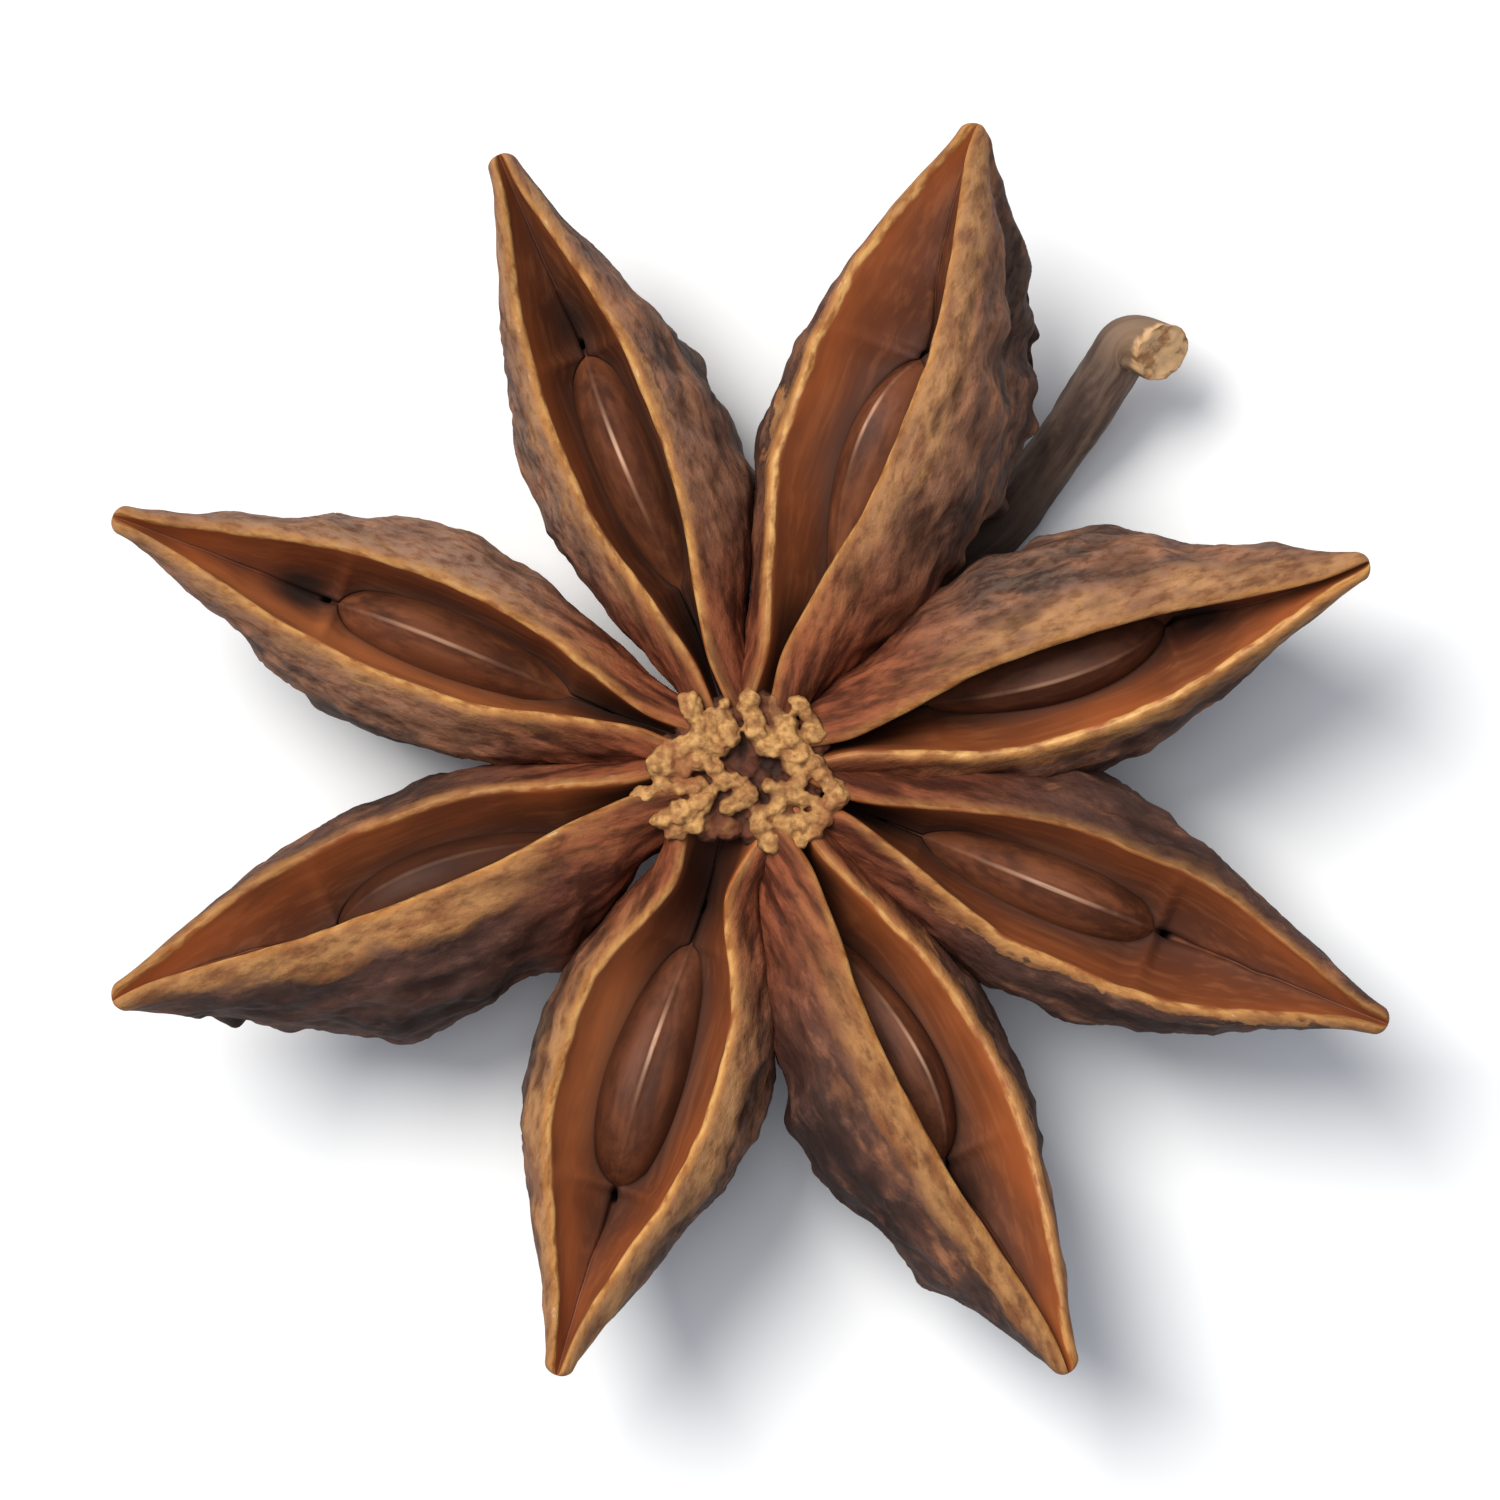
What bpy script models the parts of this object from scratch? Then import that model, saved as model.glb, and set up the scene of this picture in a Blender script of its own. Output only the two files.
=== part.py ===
"""A dried star anise: a woody star of eight boat-shaped pods round a central column, with its stalk, and a seed
in each pod.

The finished objects are in metres, +Z up. The open seams of the pods face up, three keels stand on z = 0, and the
middle of the star's bounding box is over the origin.
"""

import math
import random

import bmesh
import bpy
import numpy as np
from mathutils import Vector, noise

# Everything is modelled in millimetres, which suits the mesh tools' tolerances, and scaled to metres at the end.
METRES_IN_MM = 0.001
TINY = 1e-9
WELD = 0.001  # points closer than this are one

# Driving dimensions of the star
RIM_LIP = 0.5  # thickness of a pod's wall at its open seam
SLIT_HALF = 0.13  # the seam never closes further than this
SHIFT_SPREAD = 6.75  # makes a pod's shift of its opening count in full at two thirds of its length
COLUMN_RADIUS = 1.9
COLUMN_TOP = 7.5
COLUMN_FOOT = 3.0
STALK_RADIUS = 0.76
FOLD_HEIGHT = 0.42  # waves of the dry skin
JAG_HEIGHT = 0.5  # unevenness of a keel
FLANK_SPAN = 5.0  # millimetres down a flank, from rim to keel, that a lump's spread is measured by

# Torn tissue on top of the column
CRUMB_RING = 2.4
CRUMB_COUNT = 34
CRUMB_SIZES = (0.42, 0.62)
CRUMB_SEED = 7

# Driving dimensions of a seed, and where it lies in its pod
SEED_LENGTH = 8.0
SEED_WIDTH = 2.7
SEED_HEIGHT = 4.3
SEED_TOP = 0.9  # the seed's edge, under the rims
SEED_MIDDLE = 8.1  # from the column
SEED_GAP = 0.43
NEST_SLACK = 1.28  # length of the nest, in lengths of the seed
SEED_FULLNESS = 2.6  # power of the curve over its upper half, where 2 is an ellipse

# Each pod, anticlockwise from the one right of the stalk. Angles are in degrees and sizes in millimetres.
# bearing: direction of its tip from the column. length: column to tip. opening: width between the rims. shift:
# how much further out than usual the opening is widest. offset: how far the opening's middle is to the left of
# the line to the tip. roll: the keel swings to the right of that line when positive. mouth: half the opening near
# the column. body: width of the pod's body. depth: rims to keel. rims: height of the rims over the ground at mid
# length. rise: how far the tip is above them. ragged: which stretch of the wrinkle pattern the pod's skin has.
# lumps: larger folds of the skin, each as (distance from the column, share of the way from rim to keel and
# negative on the right, height, spread along the pod, spread down the flank), where a negative height is a dent.
PODS = {
    "c": dict(bearing=17.8, length=17.6, opening=2.55, shift=0.0, offset=-0.68, roll=-18.5,
              mouth=0.25, body=6.3, depth=7.6, rims=8.2, rise=0.6, ragged=3.1,
              lumps=((11.3, 0.75, 0.6, 0.8, 1.2), (5.6, 0.7, 0.1, 1.4, 1.4), (8.3, 0.6, 0.2, 0.7, 1.0),
                     (13.4, 0.7, -0.45, 1.2, 1.2))),
    "b": dict(bearing=70.6, length=18.3, opening=3.6, shift=0.07, offset=0.57, roll=35,
              mouth=0.35, body=5.7, depth=7.8, rims=8.3, rise=1.0, ragged=5.7,
              lumps=((15.2, -0.85, 0.3, 1.3, 1.3), (9.2, -0.8, -0.15, 1.6, 1.3),
                     (12.9, -0.58, -0.6, 3.6, 0.55), (11.2, -0.85, 0.15, 1.5, 1.3), (9.5, 0.15, 0.3, 3.5, 1.0))),
    "a": dict(bearing=112.2, length=17.7, opening=2.55, shift=0.055, offset=0.11, roll=6.5,
              mouth=0.25, body=5.3, depth=8.2, rims=8.08, rise=0.9, ragged=8.2,
              lumps=((10.6, -0.65, 0.6, 0.6, 1.1), (7.0, -0.5, 0.5, 1.6, 1.6), (12.0, -0.7, -0.4, 1.0, 1.4))),
    "h": dict(bearing=158.5, length=18.3, opening=2.8, shift=0.015, offset=-0.16, roll=-3.5,
              mouth=0.3, body=5.6, depth=7.7, rims=8.1, rise=0.7, ragged=11.9,
              lumps=((9.4, -0.4, 0.2, 1.4, 1.4), (11.0, 0.5, 0.25, 1.5, 1.5))),
    "g": dict(bearing=200.0, length=18.2, opening=2.5, shift=0.045, offset=-0.84, roll=-29,
              mouth=0.3, body=5.9, depth=7.8, rims=7.9, rise=0.3, ragged=14.4,
              lumps=((10.6, 0.7, 0.25, 1.6, 1.6), (6.2, 0.6, 0.3, 1.4, 1.4))),
    "f": dict(bearing=252.6, length=17.2, opening=4.1, shift=-0.02, offset=-0.27, roll=-7,
              mouth=1.5, body=6.15, depth=7.9, rims=7.65, rise=0.4, ragged=17.2,
              lumps=((8.2, 0.5, -0.1, 1.3, 1.3), (11.6, -0.5, -0.3, 1.3, 1.3))),
    "e": dict(bearing=298.3, length=18.5, opening=2.7, shift=0.025, offset=0.8, roll=27,
              mouth=0.3, body=6.1, depth=7.9, rims=8.1, rise=0.2, ragged=20.6,
              lumps=((7.6, -0.7, -0.55, 1.3, 1.3), (12.2, -0.8, -0.45, 1.2, 1.2))),
    "d": dict(bearing=338.0, length=18.6, opening=3.5, shift=0.05, offset=0.0, roll=0,
              mouth=0.25, body=6.0, depth=8.0, rims=8.0, rise=0.5, ragged=23.3,
              lumps=((8.8, 0.45, 0.3, 1.5, 1.5), (12.6, -0.6, 0.3, 1.3, 1.3))),
}

# How a pod changes from the column (0) to its tip (1), as shares of its largest size
OPENING_LINE = [(0.0, 0.0), (0.13, 0.04), (0.26, 0.45), (0.38, 0.88), (0.52, 1.0), (0.66, 0.88), (0.82, 0.44),
                (0.93, 0.14), (1.0, 0.03)]
BODY_LINE = [(0.0, 0.30), (0.14, 0.38), (0.32, 0.80), (0.50, 1.0), (0.62, 0.90), (0.76, 0.60), (0.89, 0.30),
             (1.0, 0.08)]
KEEL_LINE = [(0.0, 0.54), (0.12, 0.58), (0.27, 0.74), (0.42, 0.93), (0.55, 1.0), (0.68, 0.93), (0.80, 0.69),
             (0.92, 0.34), (1.0, 0.08)]
# Depth of the lined groove beside the seed's nest, as a share of the pod's depth
GROOVE_LINE = [(0.0, 0.03), (0.12, 0.14), (0.24, 0.28), (0.5, 0.34), (0.66, 0.28), (0.76, 0.20), (0.86, 0.12),
               (0.94, 0.07), (1.0, 0.035)]
ROLL_LINE = [(0.0, 0.20), (0.12, 0.55), (0.26, 0.90), (0.40, 1.0), (1.0, 1.0)]

# Route of the stalk, from under the column out between two pods, and its thickness as a share of STALK_RADIUS
STALK_ROUTE = [(0.0, 0.0, 4.0, 1.9), (0.1, 0.1, 2.7, 1.55), (0.8, 0.8, 1.5, 1.15), (2.2, 2.2, 0.95, 1.0),
               (4.4, 4.4, 0.9, 1.0), (6.8, 6.4, 0.95, 1.0), (7.95, 7.85, 1.3, 0.98), (8.95, 9.25, 2.0, 1.0),
               (9.85, 10.65, 2.9, 1.05), (10.4, 11.4, 3.5, 1.15), (11.4, 11.2, 3.8, 1.2)]
STALK_STEPS = 22

# Mesh steps along a pod, from a rim to the keel, down the lining's slope and round half the seed's nest
POD_STATIONS = 21
POD_START = 0.03
FLANK_STEPS = 6
SLOPE_STEPS = 2
NEST_STEPS = 4


def along(line, place):
    """The value of a line of (place, value) points, on a smooth curve through them."""
    places, values = np.array(line, float).T
    slopes = np.gradient(values, places)
    i = int(np.clip(np.searchsorted(places, place) - 1, 0, len(places) - 2))
    span = places[i + 1] - places[i]
    t = min(1.0, max(0.0, (place - places[i]) / span))
    return float((2 * t**3 - 3 * t**2 + 1) * values[i] + (t**3 - 2 * t**2 + t) * span * slopes[i]
                 + (3 * t**2 - 2 * t**3) * values[i + 1] + (t**3 - t**2) * span * slopes[i + 1])


def bezier(corners, t):
    a, b, c, d = (Vector(corner) for corner in corners)
    return (1 - t) ** 3 * a + 3 * t * (1 - t) ** 2 * b + 3 * t**2 * (1 - t) * c + t**3 * d


def seed_girth(place):
    """How wide a seed is at a place from -1, near the column, to 1, as a share of its widest: an egg's line."""
    return math.sqrt(max(0.0, 1 - place**2)) * (0.96 + 0.34 * place - 0.16 * place**2)


def ease(value):
    """A smooth step from 0 to 1."""
    value = min(1.0, max(0.0, value))
    return value * value * (3 - 2 * value)


def nest_line(pod, u, opening):
    """The lined inside of a pod at share u, its left half: down a slope from the rim, then round the seed.
    Past the seed's ends the nest closes to the bottom of a shallow groove."""
    place = (u * pod["length"] - SEED_MIDDLE) / (SEED_LENGTH / 2)
    girth = seed_girth(place / NEST_SLACK)
    nested = ease((1.5 - abs(place)) / 0.3)
    groove = pod["depth"] * along(GROOVE_LINE, u)
    seed_bottom = SEED_TOP + SEED_HEIGHT / 2 * (1 + girth) + SEED_GAP
    bottom = groove + max(0, seed_bottom - groove) * nested
    half = max(0.34 * opening, (SEED_WIDTH / 2 + SEED_GAP) * girth)
    edge = min(0.7 * opening, 0.92 * half)
    edge_depth = 0.8 * groove * (1 - nested) + 1.2 * SEED_TOP * nested
    nest = [(edge, -edge_depth), (1.15 * half, -0.8 * edge_depth - 0.2 * bottom), (1.15 * half, -bottom),
            (0, -bottom)]
    rim = (opening, -0.02)
    lining = [rim, (0.8 * opening + 0.2 * edge, -0.5 * edge_depth), (0.4 * opening + 0.6 * edge, -edge_depth), nest[0]]
    slope = [bezier(lining, step / SLOPE_STEPS) for step in range(SLOPE_STEPS)]
    return slope + [bezier(nest, step / NEST_STEPS) for step in range(NEST_STEPS + 1)]


def wrinkle(pod, u, side, t):
    """How far the dry skin stands out at share t of the way from rim to keel, on side 1 or -1."""
    s = u * pod["length"]
    folds = noise.noise(Vector((0.75 * s, 1.9 * t * side, pod["ragged"])))
    jags = noise.noise(Vector((1.5 * s, 0.4 * side * (1 - t), pod["ragged"] + 40)))
    size = min(1, max(0, along(KEEL_LINE, u) - 0.1) * 1.6)
    lumps = sum(height * math.exp(-((s - out) / long) ** 2 - (FLANK_SPAN * (t * side - down) / wide) ** 2)
                for out, down, height, long, wide in pod["lumps"])
    return (size * (FOLD_HEIGHT * folds * math.sin(math.pi * min(1, t * 1.1) / 2) + JAG_HEIGHT * jags * t**4)
            + lumps)


def flank_line(pod, u, opening):
    """The outside of a pod at share u, its left half: four control points from the rim down to the keel."""
    lip = opening + RIM_LIP * (1 - 0.7 * u**6)
    body = max(lip + 0.06, pod["body"] / 2 * along(BODY_LINE, u))
    depth = pod["depth"] * along(KEEL_LINE, u)
    flank = (body - 0.216 * lip) / 0.576
    return [(lip, 0), (flank, -0.25 * depth), (flank / 2, -0.75 * depth), (0, -depth)]


def section(pod, u):
    """The closed ring of a pod's wall at share u: down the left flank, up the right one and back inside."""
    place = u - pod["shift"] * SHIFT_SPREAD * u**2 * (1 - u)
    opening = max(SLIT_HALF * (1 - 0.2 * u), pod["mouth"] * (1 - u) ** 4,
                  pod["opening"] / 2 * along(OPENING_LINE, place))
    outer = flank_line(pod, u, opening)
    inner = nest_line(pod, u, opening)
    ring = []
    for side, steps in ((1, range(FLANK_STEPS + 1)), (-1, range(FLANK_STEPS - 1, -1, -1))):
        for step in steps:
            t = step / FLANK_STEPS
            point = bezier(outer, t)
            normal = (bezier(outer, min(1, t + 0.01)) - bezier(outer, max(0, t - 0.01))).normalized()
            point += Vector((-normal.y, normal.x)) * wrinkle(pod, u, side if t < 1 else 0, t)
            ring.append((side * point.x, point.y))
    ring += [(-point.x, point.y) for point in inner]
    ring += [(point.x, point.y) for point in inner[-2::-1]]
    return ring


def pod_axis(pod, u):
    """The middle of a pod's opening at share u, its left direction and its up direction, with the roll in them."""
    bearing = math.radians(pod["bearing"])
    out = Vector((math.cos(bearing), math.sin(bearing), 0))
    left = Vector((-out.y, out.x, 0))
    arch = 4 * u * (1 - u)
    height = pod["rims"] + pod["rise"] * (u**2 - 0.25) + (COLUMN_TOP - pod["rims"]) * (1 - u) ** 3
    middle = out * u * pod["length"] + left * arch * pod["offset"] + Vector((0, 0, height))
    roll = math.radians(pod["roll"] * along(ROLL_LINE, u))
    up = Vector((0, 0, 1))
    return middle, left * math.cos(roll) - up * math.sin(roll), left * math.sin(roll) + up * math.cos(roll)


def add_object(name, work):
    """Turns a finished bmesh into an object of the scene."""
    mesh = bpy.data.meshes.new(name)
    work.to_mesh(mesh)
    work.free()
    made = bpy.data.objects.new(name, mesh)
    bpy.context.scene.collection.objects.link(made)
    return made


def pod_solid(name, pod):
    """One pod as a closed wall: a ring at each station, joined to the next, with both ends filled."""
    work = bmesh.new()
    rings = []
    for step in range(POD_STATIONS):
        share = step / (POD_STATIONS - 1)
        u = POD_START + (1 - POD_START) * share
        middle, left, up = pod_axis(pod, u)
        rings.append([work.verts.new(middle + left * x + up * y) for x, y in section(pod, u)])
    for near, far in zip(rings, rings[1:]):
        for i in range(len(near)):
            j = (i + 1) % len(near)
            work.faces.new((near[i], near[j], far[j], far[i]))
    work.faces.new(rings[0])
    work.faces.new(rings[-1])
    bmesh.ops.triangulate(work, faces=work.faces, ngon_method="EAR_CLIP")
    bmesh.ops.recalc_face_normals(work, faces=work.faces)
    return add_object(name, work)


def column_solid():
    """The core that the pods grow from."""
    work = bmesh.new()
    height = COLUMN_TOP - COLUMN_FOOT
    bmesh.ops.create_cone(work, cap_ends=True, segments=14, radius1=0.85 * COLUMN_RADIUS, radius2=COLUMN_RADIUS,
                          depth=height)
    bmesh.ops.translate(work, verts=work.verts, vec=(0, 0, COLUMN_FOOT + height / 2))
    return add_object("column", work)


def crumb_solids():
    """Knobs of torn tissue over the top of the column, on a sunflower spiral with a seeded scatter."""
    draw = random.Random(CRUMB_SEED)
    crumbs = []
    for i in range(CRUMB_COUNT):
        reach = CRUMB_RING * math.sqrt((i + 0.8) / CRUMB_COUNT)
        turn = i * math.radians(137.5) + draw.uniform(-0.25, 0.25)
        work = bmesh.new()
        bmesh.ops.create_icosphere(work, subdivisions=1, radius=draw.uniform(*CRUMB_SIZES))
        stretch = Vector((draw.uniform(0.9, 1.35), draw.uniform(0.75, 1.0), draw.uniform(0.9, 1.15)))
        bmesh.ops.scale(work, vec=stretch, verts=work.verts)
        made = add_object(f"crumb_{i + 1}", work)
        made.location = (1.08 * reach * math.cos(turn), 0.92 * reach * math.sin(turn),
                         COLUMN_TOP + draw.uniform(-0.12, 0.28) - 0.12 * reach * (reach / CRUMB_RING) ** 2)
        made.rotation_euler = (draw.uniform(-0.4, 0.4), draw.uniform(-0.4, 0.4), draw.uniform(0, math.pi))
        crumbs.append(made)
    return crumbs


def stalk_solid():
    """The stalk as a bevelled curve on a smooth path through its route, thicker at the torn end."""
    line = bpy.data.curves.new("stalk", "CURVE")
    line.dimensions = "3D"
    line.bevel_depth = STALK_RADIUS
    line.bevel_resolution = 2
    line.use_fill_caps = True
    spline = line.splines.new("POLY")
    spline.points.add(STALK_STEPS)
    places = np.linspace(0, 1, len(STALK_ROUTE))
    columns = [list(zip(places, values)) for values in np.array(STALK_ROUTE).T]
    for i, point in enumerate(spline.points):
        x, y, z, radius = (along(column, i / STALK_STEPS) for column in columns)
        point.co = (x, y, z, 1)
        point.radius = radius
    curve = bpy.data.objects.new("stalk_curve", line)
    bpy.context.scene.collection.objects.link(curve)
    bpy.context.view_layer.update()
    work = bmesh.new()
    work.from_mesh(curve.evaluated_get(bpy.context.evaluated_depsgraph_get()).to_mesh())
    bmesh.ops.remove_doubles(work, verts=work.verts, dist=WELD)
    bmesh.ops.triangulate(work, faces=work.faces)
    bmesh.ops.recalc_face_normals(work, faces=work.faces)
    bpy.data.objects.remove(curve)
    return add_object("stalk", work)


def seed_solid(name, pod):
    """A seed on edge in its pod: an egg flattened sideways, pointed at the column."""
    work = bmesh.new()
    bmesh.ops.create_uvsphere(work, u_segments=14, v_segments=10, radius=1)
    for vert in work.verts:
        # The sphere's poles become the ends of the seed, which follows the slight twist of its pod.
        x, y, z = vert.co
        power = SEED_FULLNESS if y > 0 else 2
        size = (abs(x) ** power + abs(y) ** power) ** (1 / power)
        girth = seed_girth(z) / max(size, TINY)
        middle, left, up = pod_axis(pod, (SEED_MIDDLE + z * SEED_LENGTH / 2) / (pod["length"]))
        height = y * girth * SEED_HEIGHT / 2 - SEED_TOP - SEED_HEIGHT / 2
        vert.co = middle + left * x * girth * SEED_WIDTH / 2 + up * height
    bmesh.ops.recalc_face_normals(work, faces=work.faces)
    return add_object(name, work)


def boolean(target, operation, other):
    """Joins or cuts target with an object or a collection, applies it and removes what was used up."""
    modifier = target.modifiers.new(operation.lower(), "BOOLEAN")
    modifier.operation = operation
    modifier.solver = "MANIFOLD"
    if isinstance(other, bpy.types.Collection):
        modifier.operand_type = "COLLECTION"
        modifier.collection = other
        used = list(other.objects)
    else:
        modifier.object = other
        used = [other]
    bpy.context.view_layer.update()
    graph = bpy.context.evaluated_depsgraph_get()
    joined = bpy.data.meshes.new_from_object(target.evaluated_get(graph))
    target.modifiers.clear()
    target.data = joined
    for spent in used:
        bpy.data.objects.remove(spent)
    if isinstance(other, bpy.types.Collection):
        bpy.data.collections.remove(other)


def keep_largest_shell(target):
    """Fills the small hollows that the union sealed and drops its scraps: only the largest skin stays, in
    triangles."""
    work = bmesh.new()
    work.from_mesh(target.data)
    left = set(work.faces)
    shells = []
    while left:
        shell = set()
        front = [left.pop()]
        while front:
            face = front.pop()
            shell.add(face)
            near = {other for edge in face.edges for other in edge.link_faces} & left
            left -= near
            front += near
        shells.append(shell)
    largest = max(shells, key=len)
    spare = [face for shell in shells if shell is not largest for face in shell]
    bmesh.ops.delete(work, geom=spare, context="FACES")
    bmesh.ops.dissolve_degenerate(work, edges=work.edges, dist=WELD)
    bmesh.ops.triangulate(work, faces=work.faces, ngon_method="EAR_CLIP")
    work.to_mesh(target.data)
    work.free()


def ground_block():
    """What the worn feet are cut with: all that is under the ground."""
    work = bmesh.new()
    bmesh.ops.create_cube(work, size=60)
    bmesh.ops.translate(work, verts=work.verts, vec=(0, 0, -30))
    return add_object("ground", work)


def husk():
    """The whole woody star: pods, column, torn tissue and stalk, which grew as one piece."""
    star = column_solid()
    parts = bpy.data.collections.new("star_parts")
    bpy.context.scene.collection.children.link(parts)
    grown = [pod_solid(f"pod_{letter}", pod) for letter, pod in PODS.items()]
    for part in grown + crumb_solids() + [stalk_solid()]:
        bpy.context.scene.collection.objects.unlink(part)
        parts.objects.link(part)
    boolean(star, "UNION", parts)
    boolean(star, "DIFFERENCE", ground_block())
    keep_largest_shell(star)
    star.name = "husk"
    return star


def finish(name, colour, roughness):
    """A plain surface of one colour, given as red, green and blue."""
    made = bpy.data.materials.new(name)
    made.use_nodes = True
    shader = made.node_tree.nodes["Principled BSDF"]
    shader.inputs["Base Color"].default_value = (*colour, 1)
    shader.inputs["Roughness"].default_value = roughness
    shader.inputs["Metallic"].default_value = 0
    return made


def set_in_place(objects):
    """Moves the star sideways until the middle of its bounding box is over the origin, and scales it to metres."""
    corners = np.array([vert.co for obj in objects for vert in obj.data.vertices])
    middle = (corners.min(axis=0) + corners.max(axis=0)) / 2
    for obj in objects:
        for vert in obj.data.vertices:
            vert.co = METRES_IN_MM * (vert.co - Vector((middle[0], middle[1], 0)))


def main():
    for old in list(bpy.data.objects):
        bpy.data.objects.remove(old)
    woody = finish("dry_brown_skin", (0.11, 0.05, 0.03), 0.75)
    glossy = finish("glossy_seed_coat", (0.23, 0.07, 0.03), 0.25)
    star = husk()
    seeds = [seed_solid(f"seed_{letter}", pod) for letter, pod in PODS.items()]
    for piece, surface in [(star, woody)] + [(seed, glossy) for seed in seeds]:
        piece.data.materials.clear()
        piece.data.materials.append(surface)
        piece.data.shade_smooth()
    star.data.set_sharp_from_angle(angle=math.radians(40))
    set_in_place([star, *seeds])


main()
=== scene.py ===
import math
import random
from bisect import bisect
from functools import partial

import bpy
import numpy as np
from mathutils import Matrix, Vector, noise


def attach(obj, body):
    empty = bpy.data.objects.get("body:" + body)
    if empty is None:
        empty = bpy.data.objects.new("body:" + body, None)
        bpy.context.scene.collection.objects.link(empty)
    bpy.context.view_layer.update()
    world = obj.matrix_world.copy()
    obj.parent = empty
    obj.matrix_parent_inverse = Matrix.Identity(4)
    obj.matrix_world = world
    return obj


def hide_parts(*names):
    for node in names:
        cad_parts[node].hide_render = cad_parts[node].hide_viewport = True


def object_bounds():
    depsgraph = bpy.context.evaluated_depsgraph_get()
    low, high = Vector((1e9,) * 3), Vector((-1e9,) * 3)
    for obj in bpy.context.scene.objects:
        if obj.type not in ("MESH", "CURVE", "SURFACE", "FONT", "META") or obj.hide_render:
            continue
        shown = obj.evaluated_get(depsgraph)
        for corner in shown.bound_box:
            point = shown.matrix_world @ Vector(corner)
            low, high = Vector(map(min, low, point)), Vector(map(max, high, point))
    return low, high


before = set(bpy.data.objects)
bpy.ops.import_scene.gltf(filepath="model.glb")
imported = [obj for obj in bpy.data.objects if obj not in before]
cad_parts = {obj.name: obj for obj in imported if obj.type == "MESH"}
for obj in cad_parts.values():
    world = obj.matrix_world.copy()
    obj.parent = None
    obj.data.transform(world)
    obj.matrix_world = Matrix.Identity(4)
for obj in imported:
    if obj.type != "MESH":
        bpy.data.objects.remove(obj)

CAD_BOX = [list(corner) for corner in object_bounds()]
CAMERA_HEIGHT = 0.4
FLOOR_SIZE = 3

# Everything is modelled in millimetres round the middle of the star's column, then set in place in metres.
METRES_IN_MM = 0.001
HUB = (-0.0923, -0.4071)  # where the column stands in the frame
WELD = 0.0015  # points closer than this are one

# The star, as in the CAD
RIM_LIP = 0.5
SLIT_HALF = 0.13
SHIFT_SPREAD = 6.75
COLUMN_RADIUS = 1.9
COLUMN_TOP = 7.5
COLUMN_FOOT = 3.0
STALK_RADIUS = 0.76
STALK_SLANT = 0.55  # of its torn end
FOLD_HEIGHT = 0.42
JAG_HEIGHT = 0.5
FLANK_SPAN = 5.0
SEED_LENGTH = 8.0
SEED_WIDTH = 2.7
SEED_HEIGHT = 4.3
SEED_TOP = 0.9
SEED_MIDDLE = 8.1

# Rims, finer than the CAD
LONG_WAVE, SHORT_WAVE = 0.09, 0.05  # of a rim's line, as shares of the opening
LIP_CROWN = 0.1  # how far a rim is rounded up
LIP_DROP = 0.14  # of a rim's outer edge
LIP_SINK = 0.03  # of a rim's inner edge
LIP_ROUGHNESS = 0.05
RIM_LINE = 0.4  # where on a rim distances are counted from, as a share of its width
TIP_ROUNDING = 0.985  # where a pod begins to round off to its tip
TIP_STEPS = (0.3, 0.55, 0.75, 0.9, 0.98)

# Nests and creases
NEST_SLACK = 1.02  # how much longer a nest is than its seed
NEST_GAP = -0.06  # from a seed's shoulder to the edge of its nest: it sits a little into the seed
NEST_ROOM = 0.3  # under a seed
NEST_BRIM = 2.0  # how deep the edge of a nest goes before it flattens out towards the seed's ends
SHOULDER = 0.62  # how far the nest's edge is under the top of the seed
CREASE = 0.07  # width of the hollow past the seed, as a share of the opening
CREASE_HALF = 0.02  # of the fine crease from there to the tip
CREASE_WANDER = 0.05
VALLEY = 0.12  # how round the lining's valley is past the seed
# painted shade in the pit at the column end of each nest
INNER_PIT_SHADE = 0.6  # how dark the end of a nest by the column is

# Seeds
SEED_FULLNESS = 1.85  # of its section: 2 is an oval
STREAK_HEIGHT = 0.07  # of the raised line along a seed's top

# Relief of the skin
STRIATION = 0.11
CRUMPLE = 0.17
GRAIN = 0.035
TEETH = 0.22


def smooth_line(points):
    """A line of (place, value) points as its places, values and slopes."""
    places, values = np.array(points, float).T
    return places.tolist(), values.tolist(), np.gradient(values, places).tolist()
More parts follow.
